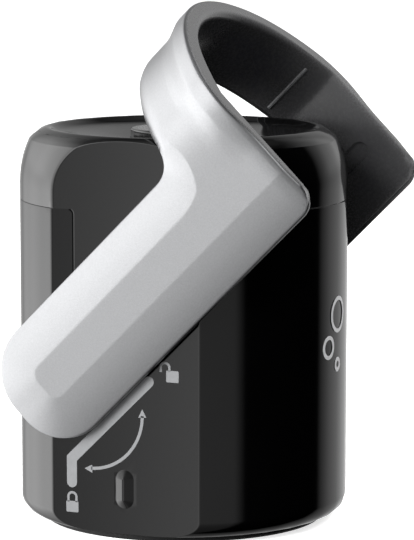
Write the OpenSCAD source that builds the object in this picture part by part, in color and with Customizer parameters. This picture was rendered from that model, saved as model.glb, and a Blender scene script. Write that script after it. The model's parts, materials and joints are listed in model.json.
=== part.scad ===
// Sparkling-wine bottle stopper with a swinging locking handle.
// Origin: body axis at the base plane. +Z up, handle hinge along X, open yoke leans towards -Y.
// The handle is drawn closed (arms down) and turned to its open rest position by open_handle().

/* [Body] */
// Diameter of the lower housing
body_d = 58; // [57:0.5:59]
// Distance from the axis to each side flat of the lower housing
flat_x = 25.5; // [25.3:0.1:25.6]
// Height of the parting line between the lower housing and the top cover
parting_z = 56.8; // [56:0.2:58]
// Height of the crest of the top cover
crest_z = 69.3; // [69:0.1:69.6]
// Reveal of the base ring below the housing
base_reveal = 1.05; // [0.8:0.05:1.2]
// Bottom edge rounding of the housing
bottom_round = 3.2; // [2.5:0.1:3.5]

/* [Socket] */
// Radius of the socket for the bottle finish
socket_r = 17.5; // [17.3:0.1:17.6]
// Height of the bottle mouth when the stopper is locked
mouth_z = 27; // [26:0.5:27.5]
// Radius of the charging port in the top
port_r = 5; // [4.9:0.1:5.5]

/* [Handle] */
// Height of the handle pivot above the base
pivot_z = 40; // [39.5:0.5:40.5]
// Angle that the handle turns from open to locked
swing = 135; // [120:1:137]
// Half of the arm width
arm_half = 10.8; // [10:0.1:11]
// Inner face of each arm, from the axis
arm_in_x = 26.5; // [26.4:0.1:26.8]
// Outer face of the flat facet of each arm
arm_out_x = 29.2; // [29:0.1:30]
// Half width of the flat facet
facet_half = 3.3; // [2:0.1:4]
// Height of the rim above the base when locked
rim_z = 0.6; // [0.4:0.1:1]
// Height of the far end of the arms when locked
arm_top_z = 67; // [66:0.5:67.5]
// Inner radius of the yoke band
band_in_r = 29.8; // [29.7:0.1:30]
// Outer radius of the yoke band
band_out_r = 32.3; // [32:0.1:33]
// Outer radius of the flared lip at the rim
lip_r = 33.5; // [33:0.1:34]
// Height of the dark inner band
band_h = 14; // [12:0.5:14.5]

/* [Mechanism] */
// Travel of the seal carrier per radian of handle turn
cam_rise = 1; // [0.8:0.1:1.1]
// Cam support distance with the handle open
cam_start = 4.2; // [4:0.1:4.4]
// Running clearance of shafts and pins, radial
run_gap = 0.05; // [0.03:0.01:0.08]

/* [Hidden] */
$fn = 96;

body_r = body_d / 2;
cover_flat_x = flat_x + 0.1;
seam = 0.15;
wall = 2.2;
cavity_r = body_r - wall;
cavity_flat_x = flat_x - wall;
floor_top = 3;
cover_curve_z = 59.5;
edge_r = 27.2;
edge_z = 67.3;
crest_r = 24.5;
dish_edge_r = 23.2;
dish_z = 66.2;
port_boss_r = 9;
port_boss_z = 69;
valve_foot_z = 56.2;
valve_foot_r = 6;
valve_r = 7;
valve_r_z = 62;
valve_head_r = 8.2;
valve_head_z = 68;
clip_z = 59.15;
clip_end_z = 60;
clip_seat_r = 5.7;

leg_half = 9.6;
leg_gap = 0.12;
leg_boss_r = 8;
leg_boss_x = 20.5;
shaft_r = 3.5;
bush_r = 5.2;
bush_flange_r = 6.6;
rib_half = 1.65;
rib_z0 = 5.5;
rib_z1 = 12.3;
rib_h = 0.6;

frame_r = 20;
plate_z = 47.5;
plate_t = 2;
post_reach = 22.4;
port_seat_z = 66.7;
claw_slot_half = 5.2;
claw_half = 4.7;
claw_pin_r = 1.2;
claw_hub_y = 22.3;
claw_hub_z = 25;
foot_hole_r = 20;
flange_r = 24.6;
flange_t = 2.6;
base_screw_reach = 22.4;

travel = cam_rise * swing * PI / 180;
carrier_top = pivot_z - cam_start - 0.08;
carrier_bottom = carrier_top - 2.6;
seal_t = carrier_bottom - mouth_z - travel;
stem_r = 4;
stem_top = 60.7;
collar_z = 54.6;
cam_x0 = 7;
cam_x1 = 12;
key_half = 2.35;
key_x = 27.3;
screw_seat_x = 27.8;
hub_x = 28.5;
skin_gap = 0.5;
frame_out_x = 27.4;
frame_band_r = 30.9;
rim_flange = 1.2;
skin_top_extra = 0.8;
yoke_end_round = 9.5;
yoke_rim_round = 3.5;
yoke_bend_round = 4.5;
far = 36;

// Points of an arc about [x, y], from angle a0 to a1
function arc(x, y, r, a0, a1, n = 8) =
    [for (i = [0:n]) let (a = a0 + (a1 - a0) * i / n) [x + r * cos(a), y + r * sin(a)]];

// Cam outline: the involute that lifts a flat follower by cam_rise for each radian
function cam_point(turn) =
    let (h = cam_start + cam_rise * turn * PI / 180, a = -90 - turn)
    [h * cos(a) + cam_rise * sin(a), h * sin(a) - cam_rise * cos(a)];

// Outline drawn in the Y-Z plane and extruded from x0 towards +X
module along_x(x0, length) {
    translate([x0, 0, 0]) rotate([90, 0, 90]) linear_extrude(length) children();
}

module x_cylinder(x0, x1, r, y = 0, z = 0) {
    translate([x0, y, z]) rotate([0, 90, 0]) cylinder(r = r, h = x1 - x0);
}

module ring(z0, z1, r_out, r_in) {
    difference() {
        translate([0, 0, z0]) cylinder(r = r_out, h = z1 - z0);
        translate([0, 0, z0 - 1]) cylinder(r = r_in, h = z1 - z0 + 2);
    }
}

module slab(half_x, z0, z1) {
    translate([-half_x, -40, z0]) cube([2 * half_x, 80, z1 - z0]);
}

module both_x() {
    children();
    mirror([1, 0, 0]) children();
}

module both_y() {
    children();
    mirror([0, 1, 0]) children();
}

module at_corners(reach) {
    for (a = [45:90:315]) rotate([0, 0, a]) translate([reach, 0, 0]) children();
}

// Turns what is drawn in the locked position to the open rest position
module open_handle() {
    translate([0, 0, pivot_z]) rotate([-swing, 0, 0]) translate([0, 0, -pivot_z]) children();
}

// Leg shape seen along X: straight sides and a round end about the pivot
module leg_outline(half, top) {
    polygon(concat([[half, top], [-half, top]], arc(0, pivot_z, half, 180, 360, 24)));
}

// ---- fixed body ----

module lower_housing() {
    color([0.06, 0.06, 0.065])
    difference() {
        union() {
            difference() {
                intersection() {
                    rotate_extrude()
                        polygon(concat([[0, base_reveal]],
                            arc(body_r - bottom_round, base_reveal + bottom_round,
                                bottom_round, -90, 0),
                            [[body_r, parting_z - seam], [body_r - seam, parting_z],
                             [0, parting_z]]));
                    slab(flat_x, 0, parting_z + 1);
                }
                intersection() {
                    translate([0, 0, floor_top]) cylinder(r = cavity_r, h = parting_z);
                    slab(cavity_flat_x, 0, parting_z + 2);
                }
                translate([0, 0, -1]) cylinder(r = foot_hole_r, h = 10);
                at_corners(base_screw_reach) cylinder(r = 2.1, h = 2);
                at_corners(base_screw_reach) translate([0, 0, 1]) cylinder(r = 1.1, h = 4);
            }
            both_x() detent_rib();
        }
        both_x() along_x(cavity_flat_x - 1, 5) leg_outline(leg_half + leg_gap, parting_z + 5);
    }
}

// Raised pill with two sloping sides, on the lower part of each flat
module detent_rib() {
    crest = 0.25;
    translate([flat_x, 0, 0]) hull() {
        for (z = [rib_z0 + rib_half, rib_z1 - rib_half]) translate([-0.2, 0, z]) {
            rotate([0, 90, 0]) cylinder(r = rib_half, h = 0.2, $fn = 32);
            rotate([0, 90, 0]) cylinder(r = crest, h = 0.2 + rib_h, $fn = 16);
        }
    }
}

module top_cover() {
    curve_r = ((edge_z - cover_curve_z) ^ 2 + (body_r - edge_r) ^ 2) / (2 * (body_r - edge_r));
    curve_a = asin((edge_z - cover_curve_z) / curve_r);
    color([0.06, 0.06, 0.065])
    difference() {
        union() {
            intersection() {
                difference() {
                    rotate_extrude()
                        polygon(concat([[0, parting_z], [body_r - seam, parting_z],
                                        [body_r, parting_z + seam]],
                            arc(body_r - curve_r, cover_curve_z, curve_r, 0, curve_a, 8),
                            [[26.6, 68.2], [25.7, 68.85], [crest_r, crest_z],
                             [23.8, 69.2], [dish_edge_r, 68.9], [22.5, 68.4],
                             [21, 67.9], [19, 67.55], [11.4, dish_z], [10.1, 66.6],
                             [9.3, 68.6], [port_boss_r - 0.3, port_boss_z],
                             [0, port_boss_z]]));
                    intersection() {
                        rotate_extrude()
                            polygon([[0, parting_z - 1], [cavity_r, parting_z - 1],
                                     [cavity_r, 60], [24.6, 64.6], [21, 65], [12, 64],
                                     [9.6, 62], [0, 62]]);
                        slab(cavity_flat_x, 0, 80);
                    }
                }
                slab(cover_flat_x, parting_z - 1, crest_z + 1);
            }
            both_x() cover_leg();
            cover_lip();
            cover_posts();
            translate([0, 0, 60]) cylinder(r = 9.6, h = 4);
        }
        translate([0, 0, 50]) cylinder(r = valve_r, h = 30);
        translate([0, 0, valve_head_z]) cylinder(r = valve_head_r, h = 5);
        both_x() x_cylinder(leg_boss_x - 1, cover_flat_x + 1, bush_r, 0, pivot_z);
        both_x() x_cylinder(leg_boss_x - 1, leg_boss_x + 0.8, bush_flange_r, 0, pivot_z);
        at_corners(post_reach) translate([0, 0, 40]) cylinder(r = 1.05, h = 20);
    }
}

// Side leg that closes the notch in the housing and carries the pivot
module cover_leg() {
    along_x(cavity_flat_x + 0.1, cover_flat_x - cavity_flat_x - 0.1)
        leg_outline(leg_half, parting_z + 4);
    x_cylinder(leg_boss_x, cover_flat_x - 1, leg_boss_r, 0, pivot_z);
}

// Tongue that centres the cover in the housing
module cover_lip() {
    intersection() {
        ring(parting_z - 2, parting_z + 1, cavity_r - 0.1, cavity_r - 1.7);
        slab(cavity_flat_x - 0.1, parting_z - 3, parting_z + 4);
    }
    intersection() {
        ring(parting_z, parting_z + 3, cavity_r + 0.2, cavity_r - 1.7);
        slab(cavity_flat_x + 0.2, parting_z - 3, parting_z + 4);
    }
}

module cover_posts() {
    at_corners(post_reach) translate([0, 0, plate_z + plate_t])
        cylinder(r = 2.4, h = 65.5 - plate_z - plate_t);
}

module base_ring() {
    color([0.03, 0.03, 0.03]) {
        difference() {
            union() {
                translate([0, 0, 0.4]) cylinder(r = 25.2, h = base_reveal - 0.4);
                cylinder(r1 = 24.8, r2 = 25.2, h = 0.4);
                cylinder(r = foot_hole_r - 0.05, h = floor_top);
            }
            translate([0, 0, -1]) cylinder(r = socket_r, h = 10);
        }
    }
}

// Screws hidden above the base ring, from the housing floor into the frame flange
module base_screws() {
    color([0.7, 0.7, 0.72])
    at_corners(base_screw_reach) difference() {
        union() {
            translate([0, 0, base_reveal + 0.1]) cylinder(r = 1.9, h = 2 - base_reveal - 0.1);
            translate([0, 0, 1.9]) cylinder(r = 0.9, h = 3.2);
        }
        translate([0, 0, 0.5]) cylinder(r = 0.9, h = 1.1, $fn = 6);
    }
}

module neck_frame() {
    color([0.16, 0.16, 0.17])
    difference() {
        union() {
            intersection() {
                ring(floor_top, floor_top + flange_t, flange_r, socket_r);
                slab(cavity_flat_x - 0.1, 0, 20);
            }
            ring(floor_top, mouth_z, frame_r, socket_r);
            ring(mouth_z, plate_z + 0.5, frame_r, socket_r + 0.7);
            ring(plate_z, plate_z + plate_t, frame_r, stem_r + run_gap);
            at_corners(post_reach) translate([-2.5, 0, plate_z]) ear();
            both_y() claw_lugs();
        }
        both_y() translate([-claw_slot_half, 10, 8.5]) cube([2 * claw_slot_half, 12, 29.5]);
        both_y() claw_pin_hole();
        both_x() x_cylinder(15, 25, shaft_r + 0.4, 0, pivot_z);
        at_corners(post_reach) translate([0, 0, plate_z - 1]) cylinder(r = 1.35, h = 5);
        at_corners(base_screw_reach) translate([0, 0, 2]) cylinder(r = 0.9, h = 3.15);
    }
}

module ear() {
    translate([-3, -3, 0]) cube([5.5, 6, plate_t]);
    translate([2.5, 0, 0]) cylinder(r = 3, h = plate_t);
}

module claw_lugs() {
    for (x0 = [-8.2, claw_slot_half + 0.2]) {
        along_x(x0, 2.8) polygon(concat([[18.4, claw_hub_z - 4.5]],
            arc(claw_hub_y, claw_hub_z, 2.3, -75, 75), [[18.4, claw_hub_z + 4.5]]));
    }
}

module claw_pin_hole() {
    x_cylinder(-9, 9, claw_pin_r, claw_hub_y, claw_hub_z);
}

module cover_screws() {
    color([0.7, 0.7, 0.72])
    at_corners(post_reach) difference() {
        union() {
            translate([0, 0, plate_z - 1.7]) cylinder(r = 2.2, h = 1.7);
            translate([0, 0, plate_z - 0.1]) cylinder(r = 1.0, h = 9);
        }
        translate([0, 0, plate_z - 2.5]) cylinder(r = 1.1, h = 1.8, $fn = 6);
    }
}

// Flanged plain bearing in each leg
module pivot_bushings() {
    color([0.75, 0.6, 0.35])
    both_x() difference() {
        union() {
            x_cylinder(leg_boss_x + 0.7, cover_flat_x - 0.1, bush_r, 0, pivot_z);
            x_cylinder(leg_boss_x, leg_boss_x + 0.8, bush_flange_r, 0, pivot_z);
        }
        x_cylinder(leg_boss_x - 1, cover_flat_x + 1, shaft_r + run_gap, 0, pivot_z);
    }
}

// ---- charging valve ----

module valve_body() {
    color([0.6, 0.6, 0.62])
    difference() {
        union() {
            translate([0, 0, valve_foot_z])
                cylinder(r = valve_foot_r, h = valve_r_z - valve_foot_z + 0.2);
            translate([0, 0, valve_r_z])
                cylinder(r = valve_r, h = valve_head_z - valve_r_z + 0.1);
            translate([0, 0, valve_head_z])
                cylinder(r = valve_head_r, h = port_boss_z - valve_head_z);
        }
        translate([0, 0, port_seat_z]) cylinder(r = port_r, h = 5);
        translate([0, 0, 66]) cylinder(r = 4.7, h = 2);
        translate([0, 0, 60]) cylinder(r = 1.8, h = 8);
        translate([0, 0, 60.9]) cylinder(r = 3.2, h = 4.1);
        translate([0, 0, 55]) cylinder(r = stem_r + run_gap, h = 6);
        ring(clip_z, clip_end_z, 9, clip_seat_r);
    }
}

// Snap ring that holds the valve body up against the cover
module valve_clip() {
    color([0.7, 0.7, 0.72]) ring(clip_z + 0.05, clip_end_z - 0.05, 8, clip_seat_r);
}

module port_seal() {
    color([0.1, 0.1, 0.1]) ring(66, port_seat_z - 0.02, 4.65, 3.2);
}

module valve_retainer() {
    color([0.8, 0.7, 0.4]) ring(61, 61.6, 3.2, 1.2);
}

module valve_spring() {
    color([0.8, 0.8, 0.82])
    for (i = [0:3]) translate([0, 0, 61.75 + i * 0.68])
        rotate_extrude() translate([2.1, 0]) circle(r = 0.15, $fn = 16);
}

module valve_poppet() {
    color([0.8, 0.7, 0.4]) {
        translate([0, 0, 63.95]) cylinder(r = 2.7, h = 1.0);
        translate([0, 0, 64.9]) cylinder(r = 1.2, h = 1.3);
        translate([0, 0, 66.2]) cylinder(r1 = 1.2, r2 = 0.9, h = 0.4);
    }
}

// ---- seal carrier ----

module seal_carrier() {
    ear_z = carrier_top - 1.3;
    color([0.85, 0.85, 0.83])
    difference() {
        union() {
            translate([0, 0, carrier_bottom]) cylinder(r = 16.9, h = 1.4);
            translate([0, 0, carrier_bottom + 1.3]) cylinder(r = 13.5, h = 1.3);
            both_y() translate([-3.5, 0, ear_z]) cube([7, 20.2, 1.3]);
            both_y() x_cylinder(-3.5, 3.5, 0.65, 20.2, ear_z + 0.65);
        }
        translate([0, 0, 20]) cylinder(r = stem_r, h = 30);
    }
}

module bottle_seal() {
    color([0.55, 0.56, 0.58])
    difference() {
        union() {
            translate([0, 0, carrier_bottom - seal_t]) cylinder(r = 13.6, h = seal_t);
            translate([0, 0, carrier_bottom - 1.2]) cylinder(r = 15.2, h = 1.2);
        }
        translate([0, 0, 20]) cylinder(r = stem_r, h = 20);
    }
}

module gas_stem() {
    foot_z = carrier_bottom - seal_t;
    color([0.72, 0.72, 0.74])
    difference() {
        union() {
            translate([0, 0, foot_z - 1]) cylinder(r = 6, h = 1);
            translate([0, 0, foot_z - 0.1]) cylinder(r = stem_r, h = stem_top - foot_z + 0.1);
        }
        translate([0, 0, 20]) cylinder(r = 1.6, h = 50);
        translate([0, 0, 58.7]) ring(0, 1.6, 6, 2.9);
    }
}

module stem_oring() {
    color([0.05, 0.05, 0.05])
    translate([0, 0, 59.5]) rotate_extrude() translate([3.45, 0]) circle(r = 0.55, $fn = 24);
}

module stem_collar() {
    color([0.85, 0.85, 0.83]) ring(collar_z, collar_z + 1.4, 7.2, stem_r);
}

module carrier_spring() {
    turns = 3;
    wire = 0.3;
    low = plate_z + plate_t + wire;
    color([0.8, 0.8, 0.82])
    for (i = [0:turns]) translate([0, 0, low + i * (collar_z - low - wire) / turns])
        rotate_extrude() translate([5.8, 0]) circle(r = wire, $fn = 16);
}

// ---- handle ----

// Yoke seen along X in the locked position; inset shrinks it all round
module yoke_outline(inset, low, high) {
    half = arm_half - inset;
    end_round = yoke_end_round - inset;
    rim_round = yoke_rim_round - inset;
    bend = yoke_bend_round + inset;
    end_z = arm_top_z - inset;
    polygon(concat(
        arc(half - rim_round, low + rim_round, rim_round, -90, 0),
        arc(half - end_round, end_z - end_round, end_round, 0, 90, 16),
        arc(end_round - half, end_z - end_round, end_round, 90, 180, 16),
        arc(-half - bend, high + bend, bend, 0, -90),
        [[-far, high], [-far, low]]));
}

// Space inside the yoke: a round band between two flat arms
module yoke_inside() {
    intersection() {
        translate([0, 0, -2]) cylinder(r = band_in_r, h = 80);
        slab(arm_in_x, -2, 80);
    }
}

// Fine raised line across the inside of the band
module band_line() {
    rotate([0, 0, -35.3]) translate([band_in_r - 0.15, -0.18, rim_z + 2.6])
        cube([0.6, 0.36, band_h - 3.6]);
}

module handle_frame() {
    high = rim_z + band_h;
    color([0.13, 0.13, 0.135])
    open_handle() difference() {
        union() {
            intersection() {
                union() {
                    intersection() {
                        translate([0, 0, rim_z]) cylinder(r = frame_band_r, h = 80);
                        slab(frame_out_x, 0, 80);
                    }
                    intersection() {
                        translate([0, 0, rim_z]) cylinder(r = frame_band_r, h = band_h);
                        translate([-far, -far, 0]) cube([2 * far, 22, 20]);
                    }
                    intersection() {
                        translate([0, 0, rim_z]) cylinder(r = lip_r - 0.4, h = rim_flange);
                        slab(arm_out_x - 0.4, 0, 10);
                    }
                    intersection() {
                        translate([0, 0, rim_z]) cylinder(r = lip_r - 0.4, h = rim_flange);
                        translate([-far, -far, 0]) cube([2 * far, 20, 10]);
                    }
                }
                along_x(-far, 2 * far) yoke_outline(skin_gap, rim_z, high);
            }
            both_x() x_cylinder(arm_in_x, hub_x, 5.5, 0, pivot_z);
            both_x() band_line();
        }
        yoke_inside();
        both_x() shaft_key(arm_in_x - 1);
        both_x() x_cylinder(key_x - 1, hub_x + 1, 1.2, 0, pivot_z);
        both_x() x_cylinder(screw_seat_x, hub_x + 1, 2.9, 0, pivot_z);
        both_x() detent_groove();
    }
}

// Square end of the shaft that turns it with the arm
module shaft_key(x0) {
    translate([x0, -key_half, pivot_z - key_half])
        cube([key_x - x0, 2 * key_half, 2 * key_half]);
}

// Pill-shaped pocket in the arm that the housing's rib drops into when locked
module detent_groove() {
    r = rib_half + 0.1;
    depth = 0.45;
    hull() {
        x_cylinder(arm_in_x - 0.5, arm_in_x + depth, r, 0, rib_z0 + r - 0.3, $fn = 32);
        x_cylinder(arm_in_x - 0.5, arm_in_x + depth, r, 0, rib_z1 - r + 0.3, $fn = 32);
    }
}

// Silver outer skin: bevelled arms, round band and flared lip
module handle_skin() {
    low = rim_z + 0.2;
    high = rim_z + band_h + skin_top_extra;
    color([0.72, 0.73, 0.74])
    open_handle() difference() {
        intersection() {
            union() {
                both_x() arm_body(low);
                band_body(low, high);
            }
            along_x(-far, 2 * far) yoke_outline(0, low, high);
        }
        yoke_inside();
        frame_envelope(high);
        band_relief();
        both_x() x_cylinder(arm_in_x - 1, hub_x + 0.05, 5.6, 0, pivot_z);
    }
}

module arm_body(low) {
    edge_x = arm_out_x - 1.2;
    cone_z = arm_top_z - arm_half;
    translate([0, 0, low]) linear_extrude(17 - low)
        polygon([[arm_in_x, -15], [arm_out_x, -15], [arm_out_x, facet_half],
                 [edge_x, arm_half], [arm_in_x, arm_half]]);
    translate([0, 0, 16.9]) linear_extrude(cone_z - 16.9)
        polygon([[arm_in_x, -arm_half], [edge_x, -arm_half], [arm_out_x, -facet_half],
                 [arm_out_x, facet_half], [edge_x, arm_half], [arm_in_x, arm_half]]);
    translate([edge_x, 0, cone_z]) rotate([0, 90, 0])
        cylinder(r1 = arm_half + 0.6, r2 = facet_half, h = arm_out_x - edge_x);
    x_cylinder(arm_in_x, edge_x, arm_half + 0.6, 0, cone_z);
}

// Round band; the lip fades into the flat of each arm
module band_body(low, high) {
    intersection() {
        rotate_extrude()
            polygon([[20, low], [lip_r, low], [lip_r, low + 3.6], [band_out_r, low + 6.4],
                     [band_out_r, high - 2], [band_out_r - 0.6, high - 0.6],
                     [band_out_r - 1.4, high], [20, high]]);
        linear_extrude(30)
            polygon([[-far, -far], [far, -far], [far, -24], [arm_out_x + 0.9, -15],
                     [arm_out_x, -7], [-arm_out_x, -7], [-arm_out_x - 0.9, -15], [-far, -24]]);
    }
}

// Recess above the dark band, so that the skin's edge clears the top cover as it swings
module band_relief() {
    intersection() {
        translate([0, 0, rim_z + band_h - 1]) cylinder(r = frame_band_r, h = 10);
        translate([-far, -15.2 - far, 0]) cube([2 * far, far, 40]);
    }
}

// What the skin leaves free for the dark frame
module frame_envelope(high) {
    intersection() {
        union() {
            intersection() {
                translate([0, 0, -2]) cylinder(r = frame_band_r, h = 80);
                slab(frame_out_x, -2, 80);
            }
            intersection() {
                translate([0, 0, -2]) cylinder(r = frame_band_r, h = band_h + rim_z + 2);
                translate([-far, -far, -2]) cube([2 * far, 22, 30]);
            }
            intersection() {
                translate([0, 0, -2]) cylinder(r = lip_r - 0.4, h = rim_z + rim_flange + 2);
                union() {
                    slab(arm_out_x - 0.4, -2, 10);
                    translate([-far, -far, -2]) cube([2 * far, 20, 12]);
                }
            }
        }
        along_x(-far, 2 * far) yoke_outline(skin_gap, rim_z - 2.6, rim_z + band_h);
    }
}

// Stub shaft from the arm to the cam: round, with a square end in the arm
module pivot_shaft() {
    open_handle() difference() {
        union() {
            x_cylinder(cam_x0 - 0.4, arm_in_x - 0.02, shaft_r, 0, pivot_z);
            shaft_key(arm_in_x - 1);
        }
        x_cylinder(key_x - 6, key_x + 1, 1.0, 0, pivot_z);
        cam_pin_hole();
    }
}

module cam_pin_hole() {
    translate([(cam_x0 + cam_x1) / 2, 0, pivot_z - 8]) cylinder(r = 0.8, h = 16);
}

module pivot_shaft_left() {
    color([0.7, 0.7, 0.72]) mirror([1, 0, 0]) pivot_shaft();
}

module pivot_shaft_right() {
    color([0.7, 0.7, 0.72]) pivot_shaft();
}

module pivot_washers() {
    color([0.9, 0.9, 0.88])
    both_x() difference() {
        x_cylinder(cover_flat_x + 0.02, arm_in_x, 6.8, 0, pivot_z);
        x_cylinder(cover_flat_x - 1, arm_in_x + 1, shaft_r, 0, pivot_z);
    }
}

// Cam in the rest position: involute flank first, then a small round back
module cam() {
    difference() {
        translate([0, 0, pivot_z]) along_x(cam_x0, cam_x1 - cam_x0)
            polygon(concat([for (t = [0:5:swing]) cam_point(t)],
                arc(0, 0, cam_start - 0.05, 60, -80, 14)));
        x_cylinder(cam_x0 - 1, cam_x1 + 1, shaft_r, 0, pivot_z);
        open_handle() cam_pin_hole();
    }
}

module cam_left() {
    color([0.55, 0.55, 0.57]) mirror([1, 0, 0]) cam();
}

module cam_right() {
    color([0.55, 0.55, 0.57]) cam();
}

// Spring pins that key the cams to their shafts
module cam_pins() {
    color([0.4, 0.4, 0.42])
    both_x() open_handle()
        translate([(cam_x0 + cam_x1) / 2, 0, pivot_z - 3.9]) cylinder(r = 0.8, h = 7.8);
}

module handle_screws() {
    color([0.7, 0.7, 0.72])
    both_x() open_handle() difference() {
        union() {
            x_cylinder(key_x - 5.5, hub_x - 0.2, 1.0, 0, pivot_z);
            x_cylinder(screw_seat_x, hub_x - 0.05, 2.8, 0, pivot_z);
        }
        x_cylinder(hub_x - 0.4, hub_x + 1, 1.1, 0, pivot_z, $fn = 6);
    }
}

// ---- claws ----

// Claw at +Y in its released position, seen along X as [distance from axis, height]
module claw_shape() {
    face_low = [19.7, 31.7];
    face_high = [21.5, 35.75];
    along_x(-claw_half, 2 * claw_half) difference() {
        polygon([[20.1, claw_hub_z + 1.2], face_low, [20.9, 34.4], face_high,
                 [22.2, 36.6], [23.6, 36.2], [24.5, claw_hub_z + 1], [24.5, claw_hub_z - 1],
                 [23.4, 10.2], [21.6, 9.0], [20.2, 9.4], [17.9, 12.0], [17.9, 12.6],
                 [20.4, 12.6], [20.1, claw_hub_z - 1.2]]);
        translate([claw_hub_y, claw_hub_z]) circle(r = claw_pin_r + run_gap);
    }
}

module claw_front() {
    color([0.62, 0.62, 0.64]) mirror([0, 1, 0]) claw_shape();
}

module claw_rear() {
    color([0.62, 0.62, 0.64]) claw_shape();
}

module claw_pins() {
    color([0.75, 0.75, 0.77])
    both_y() x_cylinder(-8.6, 10, claw_pin_r, claw_hub_y, claw_hub_z);
}

// Torsion coil on the end of each pin
module claw_springs() {
    color([0.8, 0.8, 0.82])
    both_y() for (i = [0:2])
        translate([8.5 + i * 0.5, claw_hub_y, claw_hub_z]) rotate([0, 90, 0])
            rotate_extrude() translate([1.5, 0]) circle(r = 0.24, $fn = 16);
}

lower_housing();
top_cover();
base_ring();
base_screws();
neck_frame();
cover_screws();
pivot_bushings();
valve_body();
valve_clip();
port_seal();
valve_retainer();
valve_spring();
valve_poppet();
carrier_spring();
seal_carrier();
bottle_seal();
gas_stem();
stem_oring();
stem_collar();
handle_frame();
handle_skin();
pivot_shaft_left();
pivot_shaft_right();
pivot_washers();
cam_left();
cam_right();
cam_pins();
handle_screws();
claw_front();
claw_rear();
claw_pins();
claw_springs();
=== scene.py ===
"""Looks of the sparkling-wine bottle stopper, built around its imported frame."""
import json
import math

import bmesh
import bpy
import numpy as np
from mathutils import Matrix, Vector
from mathutils.geometry import delaunay_2d_cdt


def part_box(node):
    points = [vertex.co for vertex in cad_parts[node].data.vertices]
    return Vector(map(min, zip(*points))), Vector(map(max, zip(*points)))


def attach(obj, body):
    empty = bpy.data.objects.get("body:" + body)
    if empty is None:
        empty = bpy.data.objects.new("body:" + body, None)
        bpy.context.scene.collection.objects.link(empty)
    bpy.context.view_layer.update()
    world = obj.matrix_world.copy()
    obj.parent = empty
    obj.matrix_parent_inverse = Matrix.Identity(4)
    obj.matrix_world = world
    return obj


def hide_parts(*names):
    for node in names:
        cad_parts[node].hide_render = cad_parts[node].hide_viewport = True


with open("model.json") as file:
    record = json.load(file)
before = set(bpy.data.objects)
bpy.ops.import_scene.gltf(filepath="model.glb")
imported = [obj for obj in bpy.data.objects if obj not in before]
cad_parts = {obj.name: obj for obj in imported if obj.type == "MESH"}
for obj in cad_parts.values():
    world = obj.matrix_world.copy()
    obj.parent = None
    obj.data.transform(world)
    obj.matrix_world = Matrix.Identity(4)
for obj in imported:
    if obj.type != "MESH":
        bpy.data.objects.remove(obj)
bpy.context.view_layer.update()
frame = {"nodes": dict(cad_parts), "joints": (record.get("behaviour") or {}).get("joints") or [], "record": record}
MM = 0.001

# ---- driving sizes, in mm, some of them from the frame ----


def node_box(name):
    low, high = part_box(name)
    return np.array(low) / MM, np.array(high) / MM


joints = {joint["name"]: joint for joint in frame["joints"]}
pivot = joints["handle_pivot"]
PIVOT_Z = pivot["pos_m"][2] / MM
SWING = pivot["range_deg"][1]
housing_low, housing_high = node_box("lower_housing")
cover_high = node_box("top_cover")[1]

# Body: X is across the flats, and the cover's legs lie on them
BODY_R = housing_high[1]
FLAT_X = 25.5
COVER_FLAT_X = cover_high[0]
BASE_Z = housing_low[2]
PARTING_Z = 56.8
CREST_Z = cover_high[2]
WALL = 2.2
BOTTOM_ROUND = 3.2
SEAM_ROUND = 0.16
LEG_HALF = 9.6
LEG_FILLET = 0.9
LEG_GAP = 0.12

# Rib on each flat, and the groove of the arm that comes over it
RIB_HALF = 1.65
RIB_LOW_Z = 5.5
RIB_HIGH_Z = 12.3
GROOVE_HALF = 1.72
GROOVE_WALL = 0.3
GROOVE_DEPTH = 0.64
GROOVE_ENDS = (RIB_LOW_Z + RIB_HALF - 0.2, RIB_HIGH_Z - RIB_HALF + 0.2)

# Handle, in the locked position: heights are from the table, with the rim at the bottom
ARM_HALF = 10.8
ARM_END_Z = 67.0
ARM_IN_X = 26.5
ARM_OUT_X = 29.2
END_ROUND = 9.5
RIM_ROUND = 3.5
BEND_ROUND = 4.5
BAND_IN_R = 29.8
BAND_OUT_R = 32.3
RIM_Z = 0.6
SKIN_RIM_Z = RIM_Z + 0.2
FRAME_TOP_Z = RIM_Z + 14.0
SKIN_TOP_Z = FRAME_TOP_Z + 0.8
EDGE_ROUND = 0.35

# Bevel round the arm: width, its narrowing per degree round the bend, and how deep its edge is
FACET_INSET = 7.5
FACET_NARROWING = 0.093
BEVEL_DEPTH = 1.8
BAND_EDGE_DEPTH = 1.1

# Flared lip of the band: how far out it stands, its height, and the height it falls over
LIP_FLARE = 1.15
LIP_HEIGHT = 2.9
LIP_FALL = 4.4

# Inner frame under the skin
FRAME_INSET = 0.53
FRAME_THICK = 0.84
SKIN_GAP = 0.02
FLANGE_HEIGHT = 1.24
FLANGE_COVER = 0.3
SHEET_SPACING = 0.9

# ---- small maths ----


def smoothstep(x, low, high):
    t = np.clip((np.asarray(x, float) - low) / (high - low), 0, 1)
    return t * t * (3 - 2 * t)


def smooth_min(a, b, soft):
    h = np.maximum(soft - np.abs(a - b), 0) / soft
    return np.minimum(a, b) - h * h * soft / 4


def soft_ramp(x, soft):
    """0 below -soft, x above soft, and a parabola between."""
    return np.where(x > soft, x, np.where(x < -soft, 0, (x + soft) ** 2 / (4 * soft)))


def edge_drop(d, radius):
    """How far a quarter-round of that radius falls at a distance d in from the edge."""
    inside = np.clip(radius - np.asarray(d, float), 0, radius)
    return radius - np.sqrt(np.maximum(radius ** 2 - inside ** 2, 0))


def arc(cx, cy, r, a0, a1, n):
    a = np.radians(np.linspace(a0, a1, n + 1))
    return [(cx + r * math.cos(t), cy + r * math.sin(t)) for t in a]


def stadium(half, z0, z1, n=12):
    """Upright pill outline whose round ends have their centres at z0 and z1."""
    return arc(0, z1, half, 0, 180, n) + arc(0, z0, half, 180, 360, n)


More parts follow.
